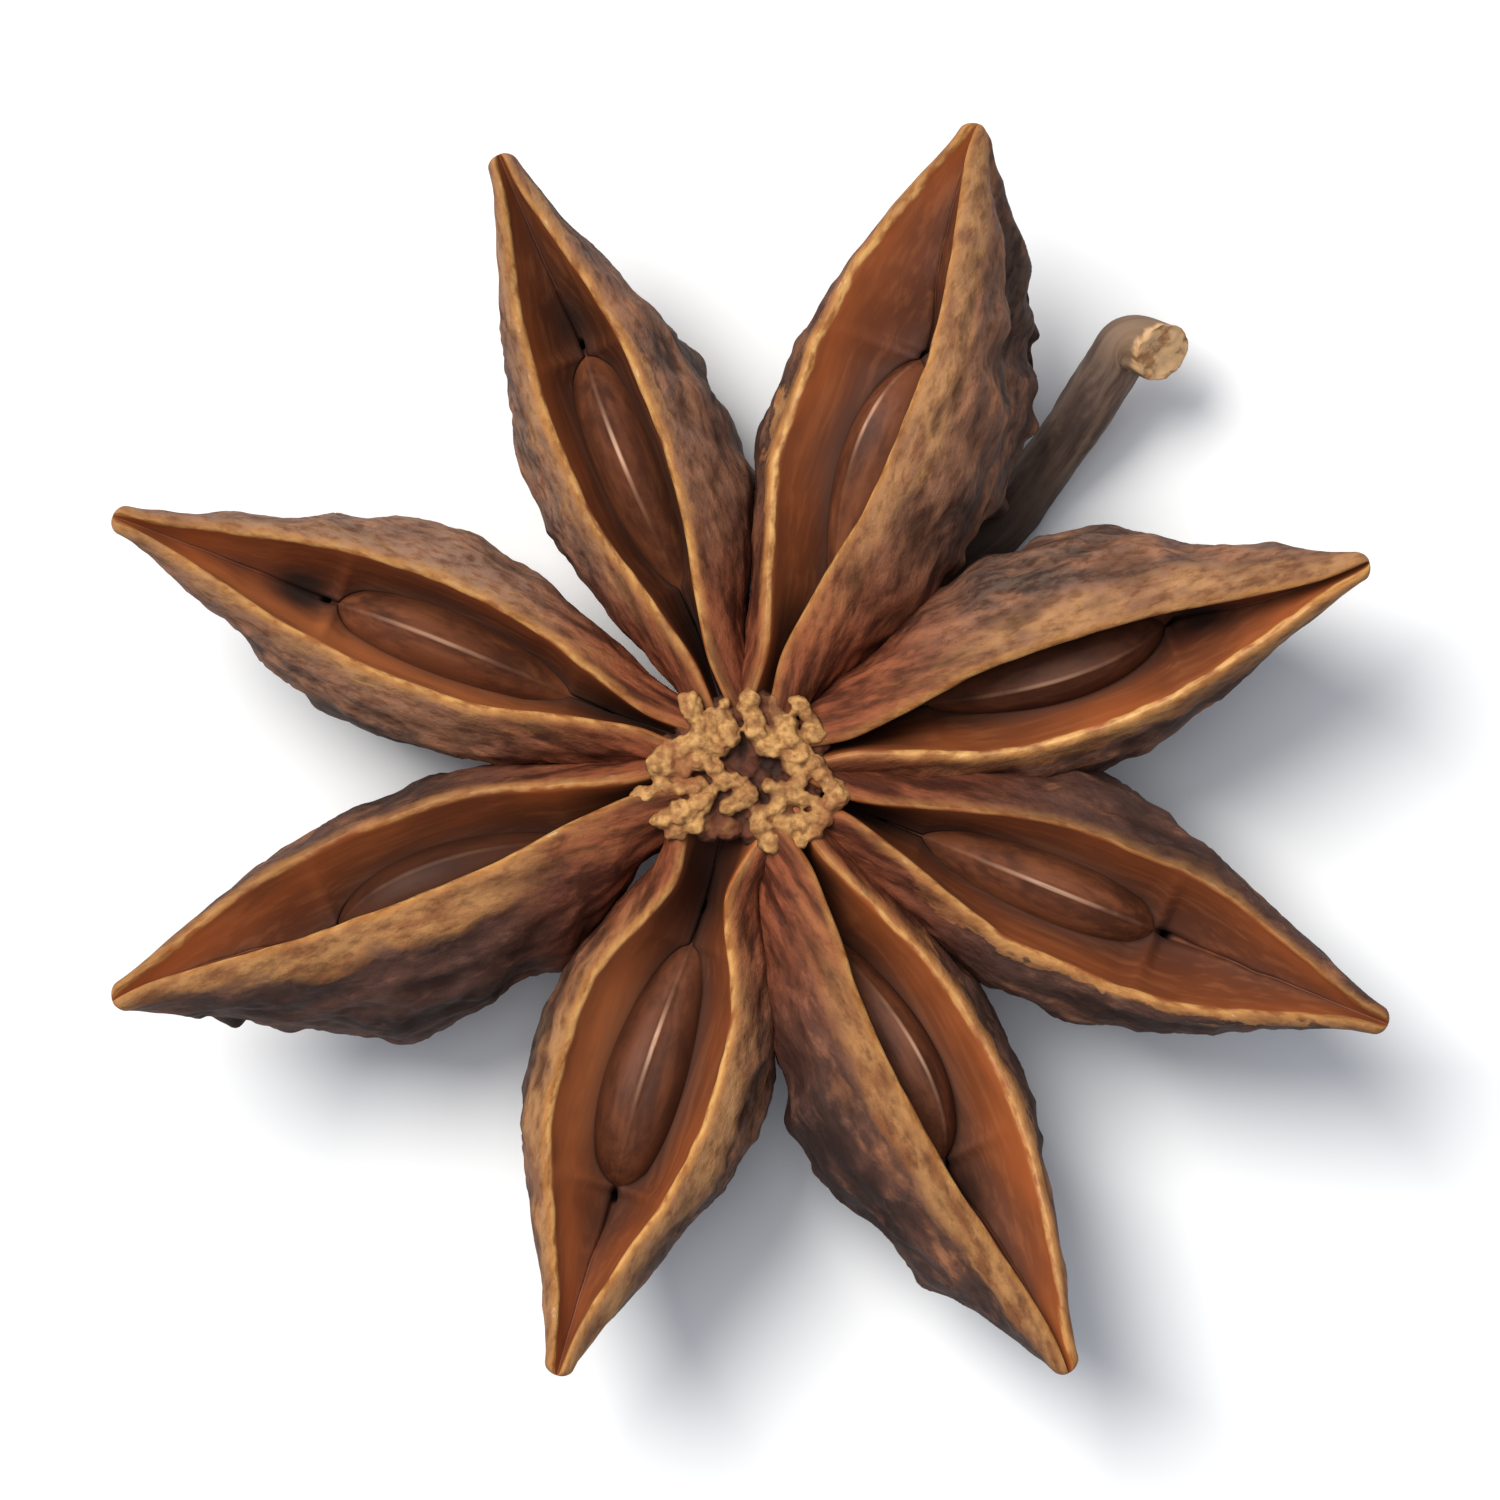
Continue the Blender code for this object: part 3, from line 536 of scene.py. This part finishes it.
def stalk_piece():
    """The stalk: a grooved, slightly twisted tube on its route, with a torn end."""
    shares = np.linspace(0, 1, len(STALK_ROUTE))
    columns = [smooth_line(list(zip(shares, values))) for values in np.array(STALK_ROUTE).T]
    ends = [(1.0, 0.97), (1.0, 0.9), (1.0, 0.75), (0.997, 0.5), (0.992, 0.25), (0.99, 0.02)]
    steps = [(share, 1.0) for share in np.linspace(0, 1, STALK_STATIONS)] + ends
    rings, local, ending = [], [], []
    run = 0.0
    before = None
    for share, shrink in steps:
        x, y, z, radius = (along(column, share) for column in columns)
        here = np.array((x, y, z))
        ahead = np.array([along(column, min(1, share + 0.01)) for column in columns[:3]])
        behind = np.array([along(column, max(0, share - 0.01)) for column in columns[:3]])
        way = (ahead - behind) / np.linalg.norm(ahead - behind)
        side = np.cross(way, (0.35, -0.35, 0.87))
        side /= np.linalg.norm(side)
        top = np.cross(side, way)
        run += 0 if before is None else float(np.linalg.norm(here - before))
        before = here
        ring, marks = [], []
        for turn in np.linspace(0, 2 * math.pi, STALK_SIDES + 1):
            turn = turn % (2 * math.pi)
            c, n = math.cos(turn + 0.03 * run), math.sin(turn + 0.03 * run)
            relief = 0.10 * rough(run / 3.5, 1.7 * c, 1.7 * n + 50) + 0.055 * rough(run / 1.6, 4.2 * c, 4.2 * n)
            relief += 0.03 * rough(run / 0.35, 4 * c, 4 * n + 9) + 0.12 * (1 - shrink) * rough(6 * c, 6 * n, 2 + shrink)
            reach = STALK_RADIUS * radius * shrink * (1 + relief)
            tear = 0.14 * rough(3 * shrink * c, 3 * shrink * n, 77) * (shrink < 0.98)
            tear -= STALK_SLANT * ease((share - 0.86) / 0.14) * reach * math.sin(turn)
            ring.append(here + side * reach * math.cos(turn) + top * reach * math.sin(turn) + way * tear)
            marks.append((run, reach * math.cos(turn), reach * math.sin(turn)))
        rings.append(ring)
        local.append(marks)
        ending.append([share + (1 - shrink) * 0.2] * (STALK_SIDES + 1))
    return tube("stalk", np.array(rings), {"local": local, "out": ending})


def curds_piece():
    """Torn tissue on the column: worm-like strings on a low cushion, melted together by a voxel remesh."""
    draw = random.Random(12)
    bpy.ops.mesh.primitive_cylinder_add(vertices=40, radius=COLUMN_RADIUS, depth=COLUMN_TOP - COLUMN_FOOT,
                                        location=(0, 0, (COLUMN_TOP + COLUMN_FOOT) / 2 - 0.2))
    lumps = [bpy.context.object]
    for i in range(BED_LUMPS):
        reach, turn = math.sqrt((i + 0.5) / BED_LUMPS), i * math.radians(137.5)
        x, y = BED_HALF[0] * reach * math.cos(turn) + BED_MIDDLE, BED_HALF[1] * reach * math.sin(turn) + BED_MIDDLE
        dip = 0.14 * math.exp(-((x - 0.65) ** 2 + (y + 0.1) ** 2) / 0.12)
        z = COLUMN_TOP - BED_SINK - dip + draw.uniform(-0.08, 0.08)
        bpy.ops.mesh.primitive_ico_sphere_add(subdivisions=3, radius=draw.uniform(0.28, 0.4), location=(x, y, z))
        lumps.append(bpy.context.object)
    for thick, *route in CURDS:
        runs = np.concatenate([[0], np.cumsum(np.linalg.norm(np.diff(route, axis=0), axis=1))])
        lines = [smooth_line(list(zip(runs, values))) for values in np.array(route).T]
        lift, turn = draw.uniform(0.0, 0.16), draw.uniform(0, 9)
        for run in np.linspace(0, runs[-1], max(2, round(runs[-1] / CURD_STEP) + 1)):
            x, y = along(lines[0], run), along(lines[1], run)
            x += CURD_SWAY * rough(run / 0.35, turn, 3)
            y += CURD_SWAY * rough(run / 0.35, turn, 7)
            z = COLUMN_TOP + 0.1 + lift - 0.02 * (x * x + y * y) + 0.15 * rough(run / 0.5, turn, 11)
            size = thick * (0.95 + 0.55 * rough(run / 0.2, turn, 15))
            bpy.ops.mesh.primitive_ico_sphere_add(subdivisions=3, radius=size, location=(x, y, z))
            lumps.append(bpy.context.object)
    bpy.ops.object.select_all(action="DESELECT")
    for lump in lumps:
        lump.select_set(True)
    bpy.context.view_layer.objects.active = lumps[0]
    bpy.ops.object.transform_apply(location=True, rotation=True, scale=True)
    bpy.ops.object.join()
    piece = bpy.context.object
    piece.name = piece.data.name = "torn_curds"
    melt = piece.modifiers.new("melt", "REMESH")
    melt.mode = "VOXEL"
    melt.voxel_size = CURD_VOXEL
    bpy.ops.object.modifier_apply(modifier="melt")
    soften = piece.modifiers.new("soften", "SMOOTH")
    soften.factor, soften.iterations = 0.5, 2
    bpy.ops.object.modifier_apply(modifier="soften")
    places = [vert.co.copy() for vert in piece.data.vertices]
    normals = [vert.normal.copy() for vert in piece.data.vertices]
    height = []
    for i, ((x, y, z), normal) in enumerate(zip(places, normals)):
        if z > COLUMN_TOP - 0.6:
            push = 0.1 * rough(x / 0.24, y / 0.24, z / 0.24) + 0.03 * rough(x / 0.1, y / 0.1, z / 0.1)
            places[i] = places[i] + normal * push
        height.append(z - COLUMN_TOP + 0.02 * (x * x + y * y))
    piece.data.vertices.foreach_set("co", np.array(places, np.float32).ravel())
    carry(piece, "height", height)
    bpy.ops.object.shade_smooth()
    return piece


# Finishes

def linear(code):
    """A colour written as sRGB hex, as the linear values that a shader takes."""
    parts = [int(code[i:i + 2], 16) / 255 for i in (1, 3, 5)]
    return (*[p / 12.92 if p <= 0.04045 else ((p + 0.055) / 1.055) ** 2.4 for p in parts], 1)


def feed(tree, socket, value):
    """Gives a socket its number, its hex colour or the socket that feeds it."""
    if isinstance(value, bpy.types.NodeSocket):
        tree.links.new(value, socket)
    else:
        socket.default_value = linear(value) if isinstance(value, str) else value


# The nodes in use, by what they do: type, settings, the sockets that its values go to in turn, and its output
NODES = {
    "mark": ("ShaderNodeAttribute", {}, (), "Fac"),  # a number that the points carry
    "local": ("ShaderNodeAttribute", {"attribute_name": "local"}, (), "Vector"),  # along, across and up, in mm
    "place": ("ShaderNodeTexCoord", {}, (), "Object"),  # in metres
    "stretch": ("ShaderNodeMapping", {}, ("Vector", "Scale"), 0),
    "noise": ("ShaderNodeTexNoise", {}, ("Vector", "Scale", "Detail", "Roughness"), 0),
    "across": ("ShaderNodeSeparateXYZ", {}, (0,), 1),
    "step": ("ShaderNodeMapRange", {"interpolation_type": "SMOOTHSTEP"}, (0, 1, 2, 3, 4), 0),  # low, high, start, end
    "blend": ("ShaderNodeMix", {"data_type": "RGBA"}, (0, 6, 7), 2),  # share of the second colour, both colours
    "plus": ("ShaderNodeMath", {"operation": "ADD"}, (0, 1), 0),
    "minus": ("ShaderNodeMath", {"operation": "SUBTRACT"}, (0, 1), 0),
    "times": ("ShaderNodeMath", {"operation": "MULTIPLY"}, (0, 1), 0),
    "over": ("ShaderNodeMath", {"operation": "DIVIDE"}, (0, 1), 0),
    "size": ("ShaderNodeMath", {"operation": "ABSOLUTE"}, (0,), 0),
    "bump": ("ShaderNodeBump", {}, ("Strength", "Distance", "Height"), 0),
}


def add(tree, what, *values, **settings):
    """Adds one of the nodes with its settings, feeds its values to it and gives its output."""
    kind, usual, sockets, output = NODES[what]
    made = tree.nodes.new(kind)
    for name, value in (usual | settings).items():
        setattr(made, name, value)
    for socket, value in zip(sockets, values):
        feed(tree, made.inputs[socket], value)
    return made.outputs[output]


def dress(finish, **looks):
    """Feeds the sockets of a finish's shader, by name."""
    shader = finish.node_tree.nodes["Principled BSDF"]
    for name, value in looks.items():
        feed(finish.node_tree, shader.inputs[name.replace("_", " ")], value)
    return finish


def blank(name, **looks):
    """A new finish with the plain values of its shader, and what adds a node to it."""
    finish = bpy.data.materials.new(name)
    finish.use_nodes = True
    return dress(finish, **looks), partial(add, finish.node_tree)


def gilded(node, colour):
    """Adds the thin golden line that runs along a rim's inner edge, broken up and redder by the column."""
    local, below, out = node("local"), node("mark", attribute_name="below"), node("mark", attribute_name="out")
    drift = node("noise", node("stretch", local, (0.6, 1, 1)), 1.3, 3.0, 0.55)  # 0.8 mm
    fine = node("noise", node("stretch", local, (0.45, 1, 1)), 3.2, 4.0, 0.6)  # 0.3 mm
    place = node("plus", below, node("times", node("minus", drift, 0.5), 0.4))
    share = node("times", node("step", place, -0.3, -0.18), node("step", place, -0.06, 0.16, 0.95, 0.0))
    share = node("times", share, node("step", out, 0.1, 0.3, 0.3, 1.0))
    share = node("times", share, node("step", drift, 0.36, 0.54, 0.45, 1.0))
    share = node("times", share, node("mark", attribute_name="gilt"))
    golden = node("blend", node("step", fine, 0.3, 0.66), "#96602F", "#B98149")
    bright = node("times", node("step", place, -0.16, -0.02, 1.0, 0.0), node("step", fine, 0.35, 0.6))
    golden = node("blend", bright, golden, "#D9A865")
    golden = node("blend", node("step", fine, 0.66, 0.76, 0.0, 0.8), golden, "#E4C79C")
    return node("blend", share, colour, golden)


def skin_finish():
    """Dried fruit skin: matt, leathery and wrinkled; a thin golden line on the rims, tan beside it, red-brown by the
    column, purple-brown and finely mottled further out."""
    finish, node = blank("dry_wrinkled_fruit_skin", IOR=1.36, Specular_IOR_Level=0.2)
    local = node("local")
    below, out, relief, tan, patches, dust_and_sheen, gilt = (
        node("mark", attribute_name=name) for name in ("below", "out", "relief", "tan", "patches", "dust_and_sheen", "gilt"))
    blotch = node("noise", node("stretch", local, (0.5, 1, 1)), 0.5, 4.0, 0.6)  # patches of 2 mm
    speck = node("noise", node("stretch", local, (0.45, 1, 1)), 1.7, 5.0, 0.62)  # mottling of 0.6 mm
    fine = node("noise", node("stretch", local, (0.4, 1, 1)), 5.0, 3.0, 0.6)  # dust of 0.2 mm
    streaks = node("noise", node("stretch", local, (0.12, 1, 1)), 2.0, 4.0, 0.6)  # veins 0.5 mm wide
    grain = node("noise", node("stretch", local, (0.6, 1, 1)), 5.0, 5.0, 0.7)

    # Dark mottled ground, with tan where the patches lie
    colour = node("blend", node("step", blotch, 0.36, 0.62), "#2E201D", "#553A31")
    colour = node("blend", node("step", speck, 0.5, 0.72, 0.0, 0.55), colour, "#80594A")
    warm = node("blend", node("step", speck, 0.33, 0.68), "#66402F", "#9C6849")
    level = node("plus", node("times", blotch, 0.65), node("times", speck, 0.35))
    bar = node("minus", node("step", below, 1.2, 4.2, 0.62, 0.76), node("times", patches, 0.26))
    colour = node("blend", node("step", node("minus", level, bar), -0.08, 0.09), colour, warm)

    # The pale band under the rim
    edge = node("plus", below, node("times", node("minus", speck, 0.5), 1.4))
    edge = node("plus", edge, node("times", node("minus", blotch, 0.5), 2.4))
    golden = node("blend", node("step", speck, 0.34, 0.64), "#845230", "#B98653")
    band = node("times", node("step", node("over", edge, tan), 0.6, 1.2, 0.85, 0.0), node("step", gilt, 0.2, 0.75))
    colour = node("blend", band, colour, golden)

    # Grey dust with painted sheen, the red-brown foot, and painted shade in the wrinkles
    grey = node("times", node("times", dust_and_sheen, node("step", fine, 0.38, 0.64, 0.25, 0.75)), node("step", out, 0.2, 0.4))
    colour = node("blend", grey, colour, "#987D6C")
    rusty = node("blend", node("step", streaks, 0.36, 0.64), "#4C2417", "#9A5538")
    near = node("plus", out, node("times", node("minus", streaks, 0.5), 0.3))
    colour = node("blend", node("step", near, 0.16, 0.5, 0.95, 0.0), colour, rusty)
    # painted shade in the low places of the skin's relief
    low = node("times", node("minus", 1.0, node("step", relief, -0.6, 0.2)), 0.55)
    colour = node("blend", low, colour, "#2A1812")
    colour = node("blend", node("step", fine, 0.32, 0.52, 0.35, 0.0), colour, "#2C1914")
    return dress(finish, Base_Color=gilded(node, colour), Normal=node("bump", 0.6, 0.0001, grain),
                 Roughness=node("step", speck, 0.3, 0.7, 0.6, 0.8))


def lining_finish():
    """The pod's hard inner layer: smooth and satin like polished horn, amber by the rim; painted shade in nest, crease,
    pits, by the column and on walls turned from the lamp, and painted light on some walls turned to it.
    """
    finish, node = blank("satin_amber_lining", IOR=1.5, Specular_IOR_Level=0.35)
    local = node("local")
    below, out, hollow_shade, painted_shading = (node("mark", attribute_name=name) for name in ("below", "out", "hollow_shade", "painted_shading"))
    deep = node("times", below, -1.0)
    cloud = node("noise", node("stretch", local, (0.4, 1, 1)), 0.55, 3.0, 0.55)  # clouds of 1.8 mm
    fibre = node("noise", node("stretch", local, (0.08, 1, 1)), 4.0, 3.0, 0.55)  # fibres 0.25 mm wide

    colour = node("blend", node("step", deep, 0.2, 2.2), "#A0562D", "#6F3B23")
    # painted light on linings turned towards the lamp, where painted_shading is below 0
    colour = node("blend", node("step", painted_shading, -0.4, 0.0, 1.0, 0.0), colour, "#B2683C")
    colour = node("blend", node("step", cloud, 0.38, 0.66, 0.0, 0.6), colour, "#5A301C")
    # painted shade, stronger deeper down, on linings turned away from the lamp
    shaded = node("times", node("step", painted_shading, 0.0, 1.0), node("step", deep, 0.1, 1.4, 0.3, 1.0))
    colour = node("blend", shaded, colour, "#3E2013")
    colour = node("blend", node("step", fibre, 0.45, 0.7, 0.0, 0.22), colour, "#AD6B42")
    # painted shade deep in the pod by the column
    inner = node("times", node("step", out, 0.14, 0.36, 0.85, 0.0), node("step", deep, 0.2, 0.9))
    colour = node("blend", inner, colour, "#2A150D")
    # painted shade in the nest, the crease and the pits
    colour = node("blend", node("times", hollow_shade, 0.85), colour, "#301910")
    colour = node("blend", node("step", hollow_shade, 0.55, 1.0, 0.0, 0.7), colour, "#20140D")
    dull = node("plus", node("step", cloud, 0.3, 0.7, 0.42, 0.54), node("times", hollow_shade, 0.45))
    return dress(finish, Base_Color=gilded(node, colour), Normal=node("bump", 0.25, 0.00004, fibre), Roughness=dull)


def seed_finish():
    """A seed's shell: hard, smooth and dark chestnut brown, dull but for a glossier line along its top that carries a
    painted highlight; painted shade darkens its sides, its underside and seeds that lie in shade under a rim.
    """
    finish, node = blank("chestnut_seed_coat_painted_highlight", IOR=1.42, Specular_IOR_Level=0.22)
    local = node("local")
    crest, side, seed_shade = (node("mark", attribute_name=name) for name in ("crest", "side", "seed_shade"))
    cloud = node("noise", node("stretch", local, (0.4, 1, 1)), 1.1, 5.0, 0.65)  # clouds of 0.9 mm
    fibre = node("noise", node("stretch", local, (0.1, 1, 1)), 3.5, 3.0, 0.55)  # fibres 0.3 mm wide

    colour = node("blend", node("step", cloud, 0.36, 0.64), "#4B291B", "#714028")
    colour = node("blend", node("step", fibre, 0.45, 0.72, 0.0, 0.35), colour, "#915839")
    # painted shade over the whole seed, for seeds that lie in shade under a rim
    colour = node("blend", seed_shade, colour, "#3A2015")
    # painted shade on the seed's sides and underside, down in its nest
    colour = node("blend", node("step", side, 0.3, 0.85, 0.0, 0.7), colour, "#3B1F12")
    # painted highlight: a pale line along the seed's top, which is glossier too
    line = node("step", node("size", node("across", local)), 0.02, 0.085, 1.0, 0.0)
    painted_highlight = node("times", node("times", crest, line), node("step", fibre, 0.35, 0.55, 0.5, 1.0))
    colour = node("blend", node("times", painted_highlight, 0.8), colour, "#D4A98C")
    return dress(finish, Base_Color=colour, Roughness=node("step", painted_highlight, 0.1, 0.9, 0.55, 0.3))


def pith_finish():
    """Torn dry tissue: dull ochre curds, darker brown tissue between them and painted shade deep in the gaps."""
    finish, node = blank("torn_dry_pith", IOR=1.4, Roughness=0.8)
    place, height = node("place"), node("mark", attribute_name="height")
    speck = node("noise", place, 4200.0, 4.0, 0.55)  # crumbs of 0.25 mm
    cloud = node("noise", place, 800.0, 3.0, 0.55)  # clouds of 1.2 mm

    colour = node("blend", node("step", speck, 0.33, 0.68), "#8F6236", "#C99A5E")
    colour = node("blend", node("step", cloud, 0.46, 0.66, 0.0, 0.7), colour, "#84492B")
    # lower down: darker brown tissue, then painted shade, near black at the bottom of the gaps
    level = node("plus", height, node("times", node("minus", cloud, 0.5), 0.3))
    colour = node("blend", node("step", level, 0.08, 0.4, 0.95, 0.0), colour, "#5A2C1A")
    colour = node("blend", node("step", level, -0.18, 0.12, 0.95, 0.0), colour, "#1F0F09")
    return dress(finish, Base_Color=colour, Normal=node("bump", 0.5, 0.00008, speck))


def stalk_finish():
    """A dried stalk: dull grey-brown with lengthwise fibres, painted shade where it lies under the star, and an ochre
    break at its end.
    """
    finish, node = blank("fibrous_grey_brown_stalk", IOR=1.4, Roughness=0.72)
    local, out = node("local"), node("mark", attribute_name="out")
    fibre = node("noise", node("stretch", local, (0.12, 1, 1)), 3.0, 4.0, 0.55)  # fibres 0.3 mm wide
    speck = node("noise", node("stretch", local, (0.5, 1, 1)), 2.6, 4.0, 0.55)  # specks of 0.4 mm

    colour = node("blend", node("step", fibre, 0.33, 0.68), "#4C3A33", "#7B6455")
    colour = node("blend", node("step", speck, 0.5, 0.75, 0.0, 0.4), colour, "#8C7361")
    # painted shade where the stalk lies under the star
    colour = node("blend", node("step", out, 0.45, 0.75, 0.75, 0.0), colour, "#2A1B15")
    colour = node("blend", node("step", out, 0.84, 0.97, 0.0, 0.5), colour, "#85694B")
    ochre = node("blend", node("step", speck, 0.36, 0.56), "#97693F", "#CBA376")
    torn = node("plus", out, node("times", node("minus", speck, 0.5), 0.06))
    colour = node("blend", node("step", torn, 0.965, 0.995), colour, ochre)
    return dress(finish, Base_Color=colour, Normal=node("bump", 0.5, 0.0001, fibre))


def floor_finish():
    """A plain white sheet, matt."""
    finish, _ = blank("plain_white_floor", Base_Color="#F2F4F6", Roughness=0.9, Specular_IOR_Level=0.2)
    return finish


# The view

def set_view():
    """Straight down from far above, as the photograph was taken, with the star filling most of the frame."""
    low, high = (Vector(corner) for corner in CAD_BOX)
    lens = bpy.data.cameras.new("camera")
    lens.lens, lens.sensor_width = 350, 36  # mm
    lens.clip_start, lens.clip_end = 0.01, 10
    camera = bpy.data.objects.new("camera", lens)
    camera.location = ((low.x + high.x) / 2, (low.y + high.y) / 2, CAMERA_HEIGHT)
    bpy.context.scene.collection.objects.link(camera)
    bpy.context.scene.camera = camera
    bpy.context.scene.view_settings.view_transform = "Standard"


def add_lamp(name, place, size, watts, colour):
    """A round lamp that shines on the middle of the star."""
    lamp = bpy.data.lights.new(name, "AREA")
    lamp.shape, lamp.size, lamp.energy, lamp.color = "DISK", size, watts, linear(colour)[:3]
    holder = bpy.data.objects.new(name, lamp)
    holder.location = place
    holder.rotation_euler = (-Vector(place)).to_track_quat("-Z", "Y").to_euler()
    bpy.context.scene.collection.objects.link(holder)


def set_light():
    """Soft daylight from the upper left of the picture over a white sheet."""
    bpy.ops.mesh.primitive_plane_add(size=FLOOR_SIZE)
    floor = bpy.context.object
    floor.name = "floor"
    floor.data.materials.append(floor_finish())
    world = bpy.data.worlds.new("room")
    bpy.context.scene.world = world
    world.use_nodes = True
    sky = world.node_tree.nodes["Background"]
    sky.inputs["Color"].default_value = linear("#EEF3FF")
    sky.inputs["Strength"].default_value = 0.39
    add_lamp("window", (-0.24, 0.24, 0.58), size=0.34, watts=4.85, colour="#FFFBF4")
    add_lamp("overhead", (-0.05, 0.05, 0.7), size=0.3, watts=0.8, colour="#FFFFFF")


def set_in_place(piece):
    """Moves a finished piece from the column to its place in the frame, in metres."""
    count = len(piece.data.vertices)
    places = np.zeros(count * 3, np.float32)
    piece.data.vertices.foreach_get("co", places)
    places = places.reshape(-1, 3) + np.array((*HUB, 0), np.float32)
    piece.data.vertices.foreach_set("co", (places * METRES_IN_MM).astype(np.float32).ravel())
    piece.data.update()


bpy.ops.object.select_all(action="DESELECT")
SKIN, LINING, SEED_COAT = skin_finish(), lining_finish(), seed_finish()
woody = [pod_piece(letter, pod) for letter, pod in PODS.items()]
curds = curds_piece()
curds.data.materials.clear()
curds.data.materials.append(pith_finish())
stalk = stalk_piece()
stalk.data.materials.append(stalk_finish())
for piece in [*woody, curds, stalk]:
    set_in_place(piece)
    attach(piece, "root")
    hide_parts("husk")
for letter, pod in PODS.items():
    seed = seed_piece(letter, pod)
    set_in_place(seed)
    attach(seed, "root")
    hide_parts(f"seed_{letter}")
set_light()
set_view()
